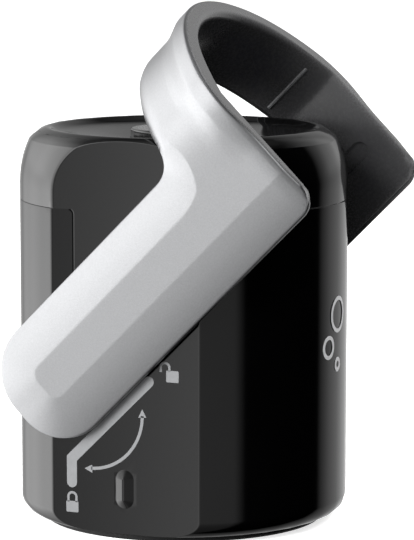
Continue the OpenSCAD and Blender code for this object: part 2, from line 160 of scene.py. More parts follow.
def spline(points, steps):
    """Catmull-Rom curve through the points."""
    p = np.array([points[0]] + list(points) + [points[-1]], float)
    out = []
    for i in range(1, len(p) - 2):
        for t in np.arange(steps) / steps:
            out.append(0.5 * (2 * p[i] + (p[i + 1] - p[i - 1]) * t
                              + (2 * p[i - 1] - 5 * p[i] + 4 * p[i + 1] - p[i + 2]) * t * t
                              + (3 * p[i] - p[i - 1] - 3 * p[i + 1] + p[i + 2]) * t ** 3))
    out.append(p[-1])
    return [tuple(q) for q in out]


# ---- materials ----


def add(tree, kind, **inputs):
    node = tree.nodes.new(kind)
    for name, value in inputs.items():
        node.inputs[name.replace("_", " ")].default_value = value
    return node


def material(name, colour, roughness, metallic=0.0, tint=0.03, tint_scale=90.0,
             rough_spread=0.04, grain_scale=2500.0, grain=0.03, ior=1.5):
    """Moulded, painted or metal surface: blotchy tint, uneven gloss and a fine grain."""
    m = bpy.data.materials.new(name)
    m.use_nodes = True
    tree = m.node_tree
    shader = tree.nodes["Principled BSDF"]
    shader.inputs["Metallic"].default_value = metallic
    shader.inputs["IOR"].default_value = ior
    place = tree.nodes.new("ShaderNodeTexCoord")
    cloud = add(tree, "ShaderNodeTexNoise", Scale=tint_scale, Detail=4.0, Roughness=0.6)
    grains = add(tree, "ShaderNodeTexNoise", Scale=grain_scale, Detail=2.0, Roughness=0.5)
    ramp = tree.nodes.new("ShaderNodeValToRGB")
    ramp.color_ramp.elements[0].position = 0.3
    ramp.color_ramp.elements[1].position = 0.7
    dark = [c * (1 - tint) for c in colour]
    light = [min(1, c * (1 + tint)) for c in colour]
    ramp.color_ramp.elements[0].color = (*dark, 1)
    ramp.color_ramp.elements[1].color = (*light, 1)
    gloss = tree.nodes.new("ShaderNodeMapRange")
    gloss.inputs["From Min"].default_value = 0.3
    gloss.inputs["From Max"].default_value = 0.7
    gloss.inputs["To Min"].default_value = max(0.02, roughness - rough_spread)
    gloss.inputs["To Max"].default_value = roughness + rough_spread
    bump = add(tree, "ShaderNodeBump", Strength=grain, Distance=0.0001)
    link = tree.links.new
    link(place.outputs["Object"], cloud.inputs["Vector"])
    link(place.outputs["Object"], grains.inputs["Vector"])
    link(cloud.outputs["Fac"], ramp.inputs["Fac"])
    link(ramp.outputs["Color"], shader.inputs["Base Color"])
    link(grains.outputs["Fac"], gloss.inputs["Value"])
    link(gloss.outputs["Result"], shader.inputs["Roughness"])
    link(grains.outputs["Fac"], bump.inputs["Height"])
    link(bump.outputs["Normal"], shader.inputs["Normal"])
    return m


MATERIALS = {
    "housing_black": material("housing_black", (0.001, 0.001, 0.0011), 0.09, tint=0.15,
                              rough_spread=0.015, grain_scale=3200, grain=0.012, ior=1.49),
    "body_black": material("body_black", (0.0012, 0.0012, 0.0013), 0.09, tint=0.15,
                           rough_spread=0.015, grain_scale=3200, grain=0.012, ior=1.61),
    "black_rubber": material("black_rubber", (0.003, 0.003, 0.003), 0.7, tint=0.2, grain=0.3),
    "steel": material("steel", (0.55, 0.55, 0.56), 0.28, metallic=1.0, grain=0.1),
    "inner_plastic": material("inner_plastic", (0.045, 0.045, 0.048), 0.45, tint=0.1, grain=0.2),
    "bearing_brass": material("bearing_brass", (0.62, 0.45, 0.2), 0.3, metallic=1.0, grain=0.1),
    "white_plastic": material("white_plastic", (0.7, 0.7, 0.68), 0.4, grain=0.1),
    "grey_silicone": material("grey_silicone", (0.22, 0.225, 0.235), 0.55, grain=0.2),
    "dark_frame": material("dark_frame", (0.06, 0.06, 0.0622), 0.27, tint=0.12,
                           rough_spread=0.04, grain_scale=2600, grain=0.06, ior=1.9),
    "silver_skin": material("silver_skin", (0.39, 0.393, 0.402), 0.36, metallic=0.95, tint=0.06,
                            tint_scale=3500, rough_spread=0.05, grain_scale=5200, grain=0.28),
    "print_grey": material("print_grey", (0.185, 0.188, 0.193), 0.5, tint=0.06,
                           tint_scale=900, grain=0.1),
    # Brighter copy of print_grey: painted light for the front mark, which the dark front of the studio leaves dim
    "print_grey_lit_copy": material("print_grey_lit_copy", (0.78, 0.785, 0.795), 0.5, tint=0.06,
                             tint_scale=900, grain=0.1),
}


def paint_rim_highlight(m, colour):
    """Paints a highlight along the frame's rim: fades its colour into a paler one over the last 1.6 mm before the
    rim.
    """
    tree = m.node_tree
    shader = tree.nodes["Principled BSDF"]
    colour_link = shader.inputs["Base Color"].links[0]
    place = next(n for n in tree.nodes if n.bl_idname == "ShaderNodeTexCoord")
    swing = math.radians(SWING)
    height = tree.nodes.new("ShaderNodeVectorMath")
    height.operation = "DOT_PRODUCT"
    height.inputs[1].default_value = (0, -math.sin(swing), -math.cos(swing))
    rim = (PIVOT_Z - RIM_Z - PIVOT_Z * math.cos(swing)) * MM
    fade = tree.nodes.new("ShaderNodeMapRange")
    fade.interpolation_type = "SMOOTHSTEP"
    fade.inputs["From Min"].default_value = rim - 1.6 * MM
    fade.inputs["From Max"].default_value = rim - 0.05 * MM
    mix = tree.nodes.new("ShaderNodeMix")
    mix.data_type = "RGBA"
    mix.inputs["B"].default_value = (*colour, 1)
    tree.links.new(place.outputs["Object"], height.inputs[0])
    tree.links.new(height.outputs["Value"], fade.inputs["Value"])
    tree.links.new(fade.outputs["Result"], mix.inputs["Factor"])
    tree.links.new(colour_link.from_socket, mix.inputs["A"])
    tree.links.new(mix.outputs["Result"], shader.inputs["Base Color"])


# Painted highlight: the frame turns paler towards its rim, standing in for light caught along the flange
paint_rim_highlight(MATERIALS["dark_frame"], (0.095, 0.095, 0.097))

# ---- mesh building ----


def finish_mesh(obj, slot, body, replaced=(), sharp_deg=32.0, weighted=True, looks=None):
    """Gives a piece the material of its slot or looks, smooth shading and a body, and hides the nodes that it
    replaces.
    """
    mesh = obj.data
    mesh.materials.clear()
    mesh.materials.append(MATERIALS[looks or slot])
    for polygon in mesh.polygons:
        polygon.use_smooth = True
        polygon.material_index = 0
    mesh.set_sharp_from_angle(angle=math.radians(sharp_deg))
    if weighted:
        modifier = obj.modifiers.new("normals", "WEIGHTED_NORMAL")
        modifier.keep_sharp = True
        modifier.weight = 60
    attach(obj, body)
    if replaced:
        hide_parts(*replaced)
    return obj


def mesh_object(name, points, faces, merge=0.002):
    """Closed mesh from points in mm; points closer than merge become one."""
    mesh = bpy.data.meshes.new(name)
    mesh.from_pydata([tuple(p) for p in np.asarray(points, float) * MM], [], faces)
    work = bmesh.new()
    work.from_mesh(mesh)
    bmesh.ops.remove_doubles(work, verts=work.verts, dist=merge * MM)
    bmesh.ops.dissolve_degenerate(work, edges=work.edges, dist=merge * MM * 0.5)
    bmesh.ops.recalc_face_normals(work, faces=work.faces)
    work.to_mesh(mesh)
    work.free()
    obj = bpy.data.objects.new(name, mesh)
    bpy.context.scene.collection.objects.link(obj)
    return obj


def quads_between(first, second, n):
    """Quads that join two rings of n points, given by the numbers of their first points."""
    return [(first + k, first + (k + 1) % n, second + (k + 1) % n, second + k) for k in range(n)]


def capped_rings(name, rings):
    """Closed solid through rings of equally many points, with a face over both ends."""
    n = len(rings[0])
    points = [point for ring in rings for point in ring]
    last = (len(rings) - 1) * n
    faces = [tuple(range(n)), tuple(last + k for k in reversed(range(n)))]
    for i in range(len(rings) - 1):
        faces += quads_between(i * n, (i + 1) * n, n)
    return mesh_object(name, points, faces)


def loft(name, levels):
    """Closed solid through outlines of (y, z), each at its own x."""
    return capped_rings(name, [[(x, y, z) for y, z in outline] for x, outline in levels])


def combine(obj, other, operation):
    """Boolean of two objects, applied; the other object is removed."""
    modifier = obj.modifiers.new("cut", "BOOLEAN")
    modifier.operation = operation
    modifier.solver = "EXACT"
    modifier.object = other
    graph = bpy.context.evaluated_depsgraph_get()
    result = bpy.data.meshes.new_from_object(obj.evaluated_get(graph))
    obj.modifiers.clear()
    obj.data = result
    bpy.data.objects.remove(other)
    return obj


# ---- body shells: turned profiles with two flats ----

# How columns gather at the corner between round and flat, as shares of each stretch
GATHER = [0, 0.004, 0.008, 0.014, 0.022, 0.034, 0.05, 0.075, 0.11, 0.16, 0.24, 0.36,
          0.5, 0.66, 0.83, 1]


def plan_angles(r, flat):
    """Angles round the axis, with columns gathered where the circle meets the flats."""
    corner = math.acos(flat / r) if r > flat else 0.0
    quarter = [corner * (1 - g) for g in reversed(GATHER)]
    quarter += [corner + (math.pi / 2 - corner) * g for g in GATHER[1:]]
    quarter = np.array(quarter)
    return np.concatenate([quarter[:-1], (math.pi - quarter[::-1])[:-1],
                           (math.pi + quarter)[:-1], (2 * math.pi - quarter[::-1])[:-1]])


def flatted_shell(name, profile, soft=0.1):
    """Closed solid from a closed profile of (radius, height, distance of the flats)."""
    rings = []
    for r, z, flat in profile:
        angles = plan_angles(r, flat)
        along = np.maximum(np.abs(np.cos(angles)), 1e-6)
        reach = smooth_min(np.full(len(angles), float(r)), flat / along, soft)
        rings.append(np.c_[reach * np.cos(angles), reach * np.sin(angles),
                           np.full(len(angles), float(z))])
    n, count = len(rings[0]), len(rings)
    faces = []
    for i in range(count):
        faces += quads_between(i * n, (i + 1) % count * n, n)
    return mesh_object(name, np.concatenate(rings), faces)


def subdivide(points, flat, step=0.6):
    """Adds points where the profile crosses the flats, so that their outline is smooth."""
    out = []
    past_flat = np.array([-0.35, -0.18, -0.09, -0.04, 0, 0.004, 0.016, 0.04, 0.08, 0.14,
                          0.22, 0.33, 0.5, 0.75])
    for (r0, z0), (r1, z1) in zip(points[:-1], points[1:]):
        cuts = {0.0}
        if abs(r1 - r0) > 1e-6 and abs(z1 - z0) > 1e-6:
            length = math.hypot(r1 - r0, z1 - z0)
            if max(r0, r1) > 23:
                cuts |= set(np.linspace(0, 1, max(1, int(length / step)) + 1)[:-1])
            for r in flat + past_flat:
                t = (r - r0) / (r1 - r0)
                if 0.001 < t < 0.999:
                    cuts.add(t)
        out += [(r0 + (r1 - r0) * t, z0 + (z1 - z0) * t) for t in sorted(cuts)]
    out.append(points[-1])
    return out


def with_flat(points, flat):
    return [(r, z, flat) for r, z in points]


def leg_outline(half, top, fillet):
    """Outline of a cover leg: round below, and filleted into the parting line above."""
    centre = (LEG_HALF + LEG_FILLET, PARTING_Z - LEG_FILLET)
    right = arc(*centre, fillet, 180, 95, 8)
    left = [(-y, z) for y, z in reversed(right)]
    return ([(right[-1][0], top), (-right[-1][0], top)] + left
            + arc(0, PIVOT_Z, half, 180, 360, 40) + right)


def detent_rib(side):
    """Raised pill with two sloping sides on the lower part of a flat."""
    offset_y = 0.1
    slope = [(0.05, -0.4), (0.05, 0.0), (-0.05, 0.06), (-1.38, 0.77), (-1.46, 0.8), (-1.55, 0.81)]
    levels = []
    for grow, out in slope:
        outline = stadium(RIB_HALF + grow, RIB_LOW_Z + RIB_HALF, RIB_HIGH_Z - RIB_HALF, 14)
        levels.append((side * (FLAT_X + out), [(y + offset_y, z) for y, z in outline]))
    return loft("rib", levels)


def make_housing():
    inner_r, inner_flat = BODY_R - WALL, FLAT_X - WALL
    hole_r, floor_z = 20.0, 3.0
    outer = [(hole_r, BASE_Z), (23.0, BASE_Z)]
    outer += arc(BODY_R - BOTTOM_ROUND, BASE_Z + BOTTOM_ROUND, BOTTOM_ROUND, -90, 0, 16)
    outer += [(BODY_R, z) for z in np.linspace(6, PARTING_Z - 1, 18)]
    outer += arc(BODY_R - SEAM_ROUND, PARTING_Z - SEAM_ROUND, SEAM_ROUND, 0, 90, 4)
    profile = with_flat(subdivide(outer, FLAT_X), FLAT_X)
    profile += [(inner_r, PARTING_Z, inner_flat), (inner_r, 30.0, inner_flat),
                (inner_r, floor_z, inner_flat), (hole_r, floor_z, inner_flat)]
    shell = flatted_shell("housing_shell", profile)
    chamfer = 0.14
    for side in (-1, 1):
        levels = [(side * (inner_flat - 1), LEG_GAP), (side * (FLAT_X - chamfer), LEG_GAP),
                  (side * (FLAT_X + 1), LEG_GAP + 1 + chamfer)]
        notch = loft("notch", [(x, leg_outline(LEG_HALF + gap, PARTING_Z + 3,
                                               max(0.05, LEG_FILLET - gap))) for x, gap in levels])
        shell = combine(shell, notch, "DIFFERENCE")
        shell = combine(shell, detent_rib(side), "UNION")
    return finish_mesh(shell, "body_black", "body", ["lower_housing"], looks="housing_black")


def make_cover():
    inner_r, inner_flat = BODY_R - WALL, FLAT_X - WALL
    curve_z, edge_r, edge_z = 59.5, 27.2, 67.3
    curve_r = ((edge_z - curve_z) ** 2 + (BODY_R - edge_r) ** 2) / (2 * (BODY_R - edge_r))
    curve_a = math.degrees(math.asin((edge_z - curve_z) / curve_r))
    outer = [(BODY_R - SEAM_ROUND, PARTING_Z)]
    outer += arc(BODY_R - SEAM_ROUND, PARTING_Z + SEAM_ROUND, SEAM_ROUND, -90, 0, 4)[1:]
    outer += [(BODY_R, 58.2)]
    outer += arc(BODY_R - curve_r, curve_z, curve_r, 0, curve_a, 16)
    crest = [(edge_r - 0.1, edge_z + 0.12), (26.5, 68.05), (25.6, 68.72), (24.6, 69.2),
             (23.95, CREST_Z - 0.02), (23.5, 69.15), (23.1, 68.85)]
    dish = [(22.6, 68.5), (22.0, 68.22), (21.0, 67.95), (19.0, 67.6), (16.0, 67.1),
            (13.0, 66.55), (11.7, 66.3), (10.8, 66.3)]
    boss_r, boss_top, boss_edge = 9.4, 69.0, 0.4
    boss = [(10.1, 66.5), (9.65, 67.0), (9.45, 67.7), (boss_r, boss_top - boss_edge)]
    outer += spline(crest + dish + boss, 4)
    outer += arc(boss_r - boss_edge, boss_top - boss_edge, boss_edge, 0, 90, 5)[1:]
    head_r, head_z, bore_r, bore_z, boss_wall_r = 8.25, 68.0, 7.05, 60.0, 9.6
    outer += [(head_r, boss_top), (head_r, head_z), (bore_r, head_z), (bore_r, bore_z),
              (boss_wall_r, bore_z)]
    profile = with_flat(subdivide(outer, COVER_FLAT_X), COVER_FLAT_X)
    profile += [(boss_wall_r, 62.0, inner_flat), (12.0, 64.0, inner_flat), (21.0, 65.0, inner_flat),
                (24.6, 64.6, inner_flat), (inner_r, 60.0, inner_flat),
                (inner_r, PARTING_Z, inner_flat)]
    shell = flatted_shell("cover_shell", profile, 0.15)
    for side in (-1, 1):
        face = COVER_FLAT_X - 0.002
        levels = [(inner_flat + 0.05, 0.0), (face - 0.22, 0.0), (face - 0.1, 0.03),
                  (face - 0.03, 0.1), (face, 0.22)]
        leg = loft("leg", [(side * x, leg_outline(LEG_HALF - inset, PARTING_Z + 1.6,
                                                  LEG_FILLET + inset)) for x, inset in levels])
        shell = combine(shell, leg, "UNION")
    return finish_mesh(shell, "body_black", "body", ["top_cover"], sharp_deg=13)


# ---- handle: sheets that bend along the yoke's plan ----

# A sheet is laid out flat in (a, z), in the locked position: a runs from the arm's rear edge
# (negative) to the middle of the band, and z is the height. The arm is straight up to BEND_A.
BEND_A = math.sqrt(BAND_IN_R ** 2 - ARM_IN_X ** 2)
BEND_ANGLE = math.atan2(BEND_A, ARM_IN_X)
MID_A = BEND_A + BAND_IN_R * (math.pi / 2 - BEND_ANGLE)


def inner_line(a):
    """Inner face of the yoke seen from above, in the locked position."""
    angle = -(BEND_ANGLE + (a - BEND_A) / BAND_IN_R)
    x = np.where(a < BEND_A, ARM_IN_X, BAND_IN_R * np.cos(angle))
    y = np.where(a < BEND_A, -a, BAND_IN_R * np.sin(angle))
    return x, y


def outward(a):
    """Direction in which the thickness is measured: across the arm, then radial."""
    angle = -(BEND_ANGLE + (a - BEND_A) / BAND_IN_R)
    x, y = inner_line(a)
    polar = np.arctan2(y, x)
    turn_start, turn_end = 8, 20
    turn = np.where(a > turn_end, angle, polar * smoothstep(a, turn_start, turn_end))
    return np.cos(turn), np.sin(turn)


def plain_thickness(a):
    """Thickness to the flat of the arm or the round of the band, blended where they meet."""
    blend = 2.6
    x, y = inner_line(a)
    nx, ny = outward(a)
    to_flat = (ARM_OUT_X - x) / np.maximum(nx, 0.05)
    b = x * nx + y * ny
    to_round = -b + np.sqrt(b * b - (x * x + y * y - BAND_OUT_R ** 2))
    return smooth_min(to_flat, to_round, blend)


def sheet_outline(inset, low, high, step=0.5):
    """Outline of half the yoke: rim, rear corner, rounded arm end, bend and band top."""
    def line(p, q):
        n = max(1, int(round(math.dist(p, q) / step)))
        return [(p[0] + (q[0] - p[0]) * i / n, p[1] + (q[1] - p[1]) * i / n) for i in range(n)]

    def turn(cx, cy, r, a0, a1):
        n = max(3, int(round(abs(math.radians(a1 - a0)) * r / step)))
        return arc(cx, cy, r, a0, a1, n)[:-1]

    half, top = ARM_HALF - inset, ARM_END_Z - inset
    end_r, rim_r, bend_r = END_ROUND - inset, RIM_ROUND - inset, BEND_ROUND + inset
    bend = (half + bend_r, high + bend_r)
    points = line((MID_A, low), (rim_r - half, low))
    points += turn(rim_r - half, low + rim_r, rim_r, 270, 180)
    points += line((-half, low + rim_r), (-half, top - end_r))
    points += turn(end_r - half, top - end_r, end_r, 180, 90)
    points += line((end_r - half, top), (half - end_r, top))
    points += turn(half - end_r, top - end_r, end_r, 90, 0)
    points += line((half, top - end_r), (half, bend[1]))
    points += turn(bend[0], bend[1], bend_r, 180, 270)
    points += line((bend[0], high), (MID_A, high))
    points += line((MID_A, high), (MID_A, low))
    return points


def edge_distance(points, outline):
    """Distance from each point to the outline's edges, leaving out the rim and the middle."""
    line = np.array(outline + outline[:1])
    start, stop = line[:-1], line[1:]
    low = line[:, 1].min()
    keep = ~((np.maximum(start[:, 1], stop[:, 1]) < low + 1e-6)
             | (np.minimum(start[:, 0], stop[:, 0]) > MID_A - 1e-6))
    start, along = start[keep], (stop - start)[keep]
    best = np.full(len(points), 1e9)
    for s, d in zip(start, along):
        t = np.clip(((points - s) @ d) / (d @ d), 0, 1)
        best = np.minimum(best, np.hypot(*(points - s - t[:, None] * d).T))
    return best


def facet_width(turn):
    """Width of the bevel by the angle round the bend: wide on the arm, narrow on the band."""
    start, stretch = 207, 48
    return FACET_INSET - FACET_NARROWING * np.clip(np.asarray(turn, float) - start, 0, stretch)


def turn_round_bend(a, z, high):
    """Angle in degrees round the bend's centre: 180 beside the arm, 270 over the band."""
    across, down = ARM_HALF + BEND_ROUND - a, high + BEND_ROUND - z
    turn = 180 + np.degrees(np.arctan2(np.maximum(down, 0), across))
    return np.where(a < 1.5, 180.0, turn)


def facet_line(offset, low, high):
    """Line where the bevel ends, moved by offset, from the rim up round the arm's end."""
    inset = FACET_INSET + offset
    half, top = ARM_HALF - inset, ARM_END_Z - inset
    end_r = END_ROUND - inset
    bend = (ARM_HALF + BEND_ROUND, high + BEND_ROUND)
    points = [(-half, z) for z in np.arange(low + 0.4, top - end_r, 0.6)]
    points += arc(end_r - half, top - end_r, end_r, 180, 90, 6)
    points += arc(half - end_r, top - end_r, end_r, 90, 0, 6)
    points += [(half, z) for z in np.arange(top - end_r - 0.5, bend[1], -0.6)]
    for angle in np.arange(181, 266, 3.0):
        reach = BEND_ROUND + float(facet_width(angle)) + offset
        points.append((bend[0] + reach * math.cos(math.radians(angle)),
                       bend[1] + reach * math.sin(math.radians(angle))))
    return points


def within(points, outline):
    """Even-odd test of which points lie inside the outline."""
    inside = np.zeros(len(points), bool)
    for (a0, z0), (a1, z1) in zip(outline, np.roll(outline, -1, axis=0)):
        if z0 != z1:
            crosses = (z0 > points[:, 1]) != (z1 > points[:, 1])
            at = a0 + (a1 - a0) * (points[:, 1] - z0) / (z1 - z0)
            inside ^= crosses & (points[:, 0] < at)
    return inside


def triangulate(outline, loops, lines, spacing):
    """Triangles over the outline's inside, with the loops and lines as edges."""
    points, edges = list(outline), []
    for loop in loops + lines:
        first = len(points)
        points += list(loop)
        edges += [(first + i, first + i + 1) for i in range(len(loop) - 1)]
        if loop in loops:
            edges.append((len(points) - 1, first))
    fixed = np.array(points)
    low, high = fixed.min(0), fixed.max(0)
    grid = []
    row = 0
    for z in np.arange(low[1] + 0.5, high[1], spacing * 0.866):
        shift = spacing / 2 * (row % 2)
        grid += [(a, z) for a in np.arange(low[0] + 0.4 + shift, high[0] - 0.3, spacing)]
        row += 1
    grid = np.array(grid)
    grid = grid[within(grid, np.array(outline))]
    near = np.array([np.min(np.hypot(*(fixed - g).T)) for g in grid])
    grid = grid[near > spacing * 0.5]
    points += [tuple(g) for g in grid]
    result = delaunay_2d_cdt([Vector(p) for p in points], edges,
                             [list(range(len(outline)))[::-1]], 1, 1e-6, False)
    flat = np.array([tuple(v) for v in result[0]])
    middles = np.array([flat[list(f)].mean(0) for f in result[2]])
    inside = within(middles, np.array(outline))
    return flat, [tuple(f) for f, keep in zip(result[2], inside) if keep]


def to_rest(points):
    """Turns points from the locked position to rest, about the pivot."""
    angle = math.radians(-SWING)
    c, s = math.cos(angle), math.sin(angle)
    p = np.asarray(points, float)
    y, z = p[:, 1], p[:, 2] - PIVOT_Z
    return np.c_[p[:, 0], y * c - z * s, y * s + z * c + PIVOT_Z]


def sheet_object(name, flat, faces, inside, outside):
    """Closed sheet between two thicknesses over the flat layout, with its mirror half."""
    a, z = flat[:, 0], flat[:, 1]
    x, y = inner_line(a)
    nx, ny = outward(a)
    inner = np.c_[x + nx * inside, y + ny * inside, z]
    outer = np.c_[x + nx * outside, y + ny * outside, z]
    n = len(flat)
    sides = {}
    for face in faces:
        for i, j in zip(face, face[1:] + face[:1]):
            if (j, i) in sides:
                del sides[(j, i)]
            else:
                sides[(i, j)] = True
    solid = [tuple(f) for f in faces] + [tuple(n + i for i in reversed(f)) for f in faces]
    for i, j in sides:
        if not (a[i] > MID_A - 1e-4 and a[j] > MID_A - 1e-4):
            solid.append((i, j, n + j, n + i))
    half = np.r_[inner, outer]
    half[np.abs(half[:, 0]) < 1e-3, 0] = 0
    mirrored = half * np.array([-1, 1, 1])
    count = len(half)
    solid += [tuple(count + i for i in reversed(f)) for f in solid]
    return mesh_object(name, to_rest(np.r_[half, mirrored]), solid, merge=0.004)


def lip_share(a):
    """How much of the rim's flare is there: none on the arm, all on the band."""
    start, full = 2.3, 12.8
    return smoothstep(a, start, full)


def skin_outside(flat, outline):
    """Outer face of the silver skin: facet, bevels, lip and rounded edges."""
    a, z = flat[:, 0], flat[:, 1]
    d = edge_distance(flat, outline)
    to_bevel = edge_distance(flat, sheet_outline(0, SKIN_RIM_Z - 12, SKIN_TOP_Z))
    to_bevel = np.where(z < FRAME_TOP_Z, np.minimum(to_bevel, a + ARM_HALF), to_bevel)
    thickness = plain_thickness(a)
    turn = turn_round_bend(a, z, SKIN_TOP_Z)
    width = facet_width(turn)
    share = soft_ramp(width - to_bevel, 0.15) / width
    # Round the bend the bevel gets shallower and its section changes from planar to hollow
    rounded = smoothstep(turn, 238, 268)
    depth = BEVEL_DEPTH - (BEVEL_DEPTH - BAND_EDGE_DEPTH) * smoothstep(turn, 207, 265)
    flat_share = 0.73
    planar = flat_share * share + (1 - flat_share) * share ** 2
    profile = (1 - rounded) * planar + rounded * share ** 2
    thickness = thickness - depth * profile - edge_drop(d, EDGE_ROUND)
    # The lip stands out at the rim of the band; on the arm the rim is rounded off instead
    v = z - SKIN_RIM_Z
    fall = np.clip((v - LIP_HEIGHT) / LIP_FALL, 0, 1)
    flare = LIP_FLARE * (0.5 * (1 - fall) ** 2 + 0.5 * (1 - smoothstep(fall, 0, 1)))
    lip = lip_share(a)
    rim_drop, arm_rim_height = 0.7, 3.4
    thickness = thickness + lip * flare - lip * edge_drop(v, 0.5) * rim_drop
    rim_round = edge_drop(v / arm_rim_height, 1.0)
    return thickness - (1 - lip) * np.minimum(rim_round, rim_drop)


def inset_line(inset, low, high, above):
    """Line along the outline at a distance in from it, above a height and off the middle."""
    return [p for p in sheet_outline(inset, low, high) if p[0] < MID_A - 0.01 and p[1] > above]


def level_line(start, height):
    """Level line from a given a to the middle of the band."""
    return [(a, height) for a in np.arange(start, MID_A - 0.3, 0.5)] + [(MID_A, height)]


def make_skin():
    outline = sheet_outline(0, SKIN_RIM_Z, SKIN_TOP_Z)
    # Mesh lines where the thickness changes fast: along the edge, the rim and the bevel
    lines = [inset_line(inset, SKIN_RIM_Z, SKIN_TOP_Z, SKIN_RIM_Z + inset + 0.01)
             for inset in (0.12, 0.3, 0.5, 0.56, 1.0, 1.6, 2.3)]
    for v in (0.12, 0.28, 0.5, 1.0, 1.1, 1.9, 2.75, 3.05, 3.4, 4.6, 5.8, 7.0):
        start = -ARM_HALF + 0.7 + float(edge_drop(v, RIM_ROUND))
        lines.append(level_line(start, SKIN_RIM_Z + v))
    lines += [facet_line(offset, SKIN_RIM_Z, SKIN_TOP_Z) for offset in (-0.22, 0.0, 0.22)]
    flat, faces = triangulate(outline, [], lines, SHEET_SPACING)
    outside = skin_outside(flat, outline)
    a, z = flat[:, 0], flat[:, 1]
    border = edge_distance(flat, outline) < FRAME_INSET
    over_band = (z > FRAME_TOP_Z - 0.02) & (a > BEND_A + 1.6)
    over_flange = z < SKIN_RIM_Z + 1.05
    inside = np.where(border, 0.0, FRAME_THICK + SKIN_GAP)
    inside = np.where(over_band, 1.1, inside)
    inside = np.where(over_flange, outside - FLANGE_COVER + SKIN_GAP, inside)
    inside = np.minimum(inside, outside - 0.2)
    skin = sheet_object("handle_silver_skin", flat, faces, inside, outside)
    return finish_mesh(skin, "silver_skin", "handle", ["handle_skin"], sharp_deg=38)


def make_inner_frame():
    skin_line = sheet_outline(0, SKIN_RIM_Z, SKIN_TOP_Z)
    outline = sheet_outline(FRAME_INSET, RIM_Z, FRAME_TOP_Z)
    lines = [inset_line(FRAME_INSET + more, RIM_Z, FRAME_TOP_Z - more, RIM_Z + more + 0.01)
             for more in (0.1, 0.25)]
    lines += [level_line(-ARM_HALF + 4.5, RIM_Z + v)
              for v in (0.1, 0.25, 0.45, 0.7, 1.0, 1.2, 1.28, 1.6)]
    loops = [stadium(GROOVE_HALF - step, *GROOVE_ENDS) for step in (0, 0.22, GROOVE_WALL)]
    flat, faces = triangulate(outline, loops, lines, SHEET_SPACING)
    a, z = flat[:, 0], flat[:, 1]
    d = edge_distance(flat, outline)
    v = z - RIM_Z
    lip_round = 0.25 + 1.1 * smoothstep(a, 16, 32)
    inside = edge_drop(d, 0.25) + edge_drop(v / lip_round, 1.0) * lip_round
    from_groove = np.hypot(a, z - np.clip(z, *GROOVE_ENDS))
    inside = inside + GROOVE_DEPTH * np.clip((GROOVE_HALF - from_groove) / GROOVE_WALL, 0, 1)
    rim_points = np.c_[a, np.maximum(z, SKIN_RIM_Z + 0.02)]
    flange = skin_outside(rim_points, skin_line) - FLANGE_COVER
    flange = np.maximum(flange - edge_drop(v, 0.12), FRAME_THICK)
    outside = np.where(v < FLANGE_HEIGHT, flange, FRAME_THICK)
    inside = np.minimum(inside, outside - 0.15)
    piece = sheet_object("handle_inner_frame", flat, faces, inside, outside)
    return finish_mesh(piece, "dark_frame", "handle", ["handle_frame"], sharp_deg=38)


def make_band_lines():
    """Fine raised line across the inside of the band, one on each side; its pale grey is a painted highlight along
    the ridge.
    """
    past_bend = 0.1414      # radians round the band
    middle = BEND_A + past_bend * BAND_IN_R
    z0, z1 = RIM_Z + 2.6, RIM_Z + 13.0
    section = [(-0.34, 0.05), (-0.31, -0.15), (-0.16, -0.26), (0.16, -0.26), (0.31, -0.15),
               (0.34, 0.05)]
    a = np.array([middle + along for along, depth in section])
    depth = np.array([depth for along, depth in section])
    x, y = inner_line(a)
    nx, ny = outward(a)
    for side, name in ((-1, "band_line_left"), (1, "band_line_right")):
        rings = [to_rest(np.c_[side * (x + nx * depth), y + ny * depth, np.full(len(a), z)])
                 for z in np.linspace(z0, z1, 12)]
        # Painted highlight: the pale print grey stands in for the light along the ridge's crest
        finish_mesh(capped_rings(name, rings), "print_grey", "handle")


# ---- printed guide on the flat ----

INK_SUNK = 0.02
INK_PROUD = 0.025


def stroke(path, width, round_ends=True):
    """Outline of a line of that width along an open path, with mitred bends."""
    p = np.array(path, float)
    half = width / 2
    left, right = [], []
    for i in range(len(p)):
        before = p[i] - p[i - 1] if i else p[1] - p[0]
        after = p[i + 1] - p[i] if i < len(p) - 1 else before
        before, after = before / np.hypot(*before), after / np.hypot(*after)
        side = np.array([-before[1] - after[1], before[0] + after[0]])
        side /= side @ np.array([-before[1], before[0]])
        left.append(tuple(p[i] + side * half))
        right.append(tuple(p[i] - side * half))
    out = list(left)
    if round_ends:
        way = math.degrees(math.atan2(*(p[-1] - p[-2])[::-1]))
        out += arc(p[-1][0], p[-1][1], half, way + 90, way - 90, 12)[1:-1]
    out += right[::-1]
    if round_ends:
        way = math.degrees(math.atan2(*(p[0] - p[1])[::-1]))
        out += arc(p[0][0], p[0][1], half, way + 90, way - 90, 12)[1:-1]
    return out


def print_piece(name, outlines):
    """Ink a few hundredths of a millimetre thick on the -X flat; outlines are (a, z), a = -y."""
    points, faces = [], []
    for outline in outlines:
        n, first = len(outline), len(points)
        for x in (-FLAT_X + INK_SUNK, -FLAT_X - INK_PROUD):
            points += [(x, -a, z) for a, z in outline]
        faces.append(tuple(first + i for i in range(n)))
        faces.append(tuple(first + n + i for i in reversed(range(n))))
        faces += [(first + i, first + n + i, first + n + (i + 1) % n, first + (i + 1) % n)
                  for i in range(n)]
    obj = mesh_object(name, points, faces, merge=0.0005)
    work = bmesh.new()
    work.from_mesh(obj.data)
    bmesh.ops.triangulate(work, faces=[f for f in work.faces if len(f.verts) > 4])
    work.to_mesh(obj.data)
    work.free()
    return finish_mesh(obj, "print_grey", "body", weighted=False)


def rounded_box(a0, a1, z0, z1, r):
    return (arc(a1 - r, z0 + r, r, -90, 0, 4) + arc(a1 - r, z1 - r, r, 0, 90, 4)
            + arc(a0 + r, z1 - r, r, 90, 180, 4) + arc(a0 + r, z0 + r, r, 180, 270, 4))


def shackle(left_foot, right_foot, centre, radius):
    """Hoop of a padlock: from one foot over a round top to the other."""
    path = [left_foot, (left_foot[0], centre[1])] + arc(*centre, radius, 180, 0, 10)[1:]
    return stroke(path + [right_foot], 0.42, False)


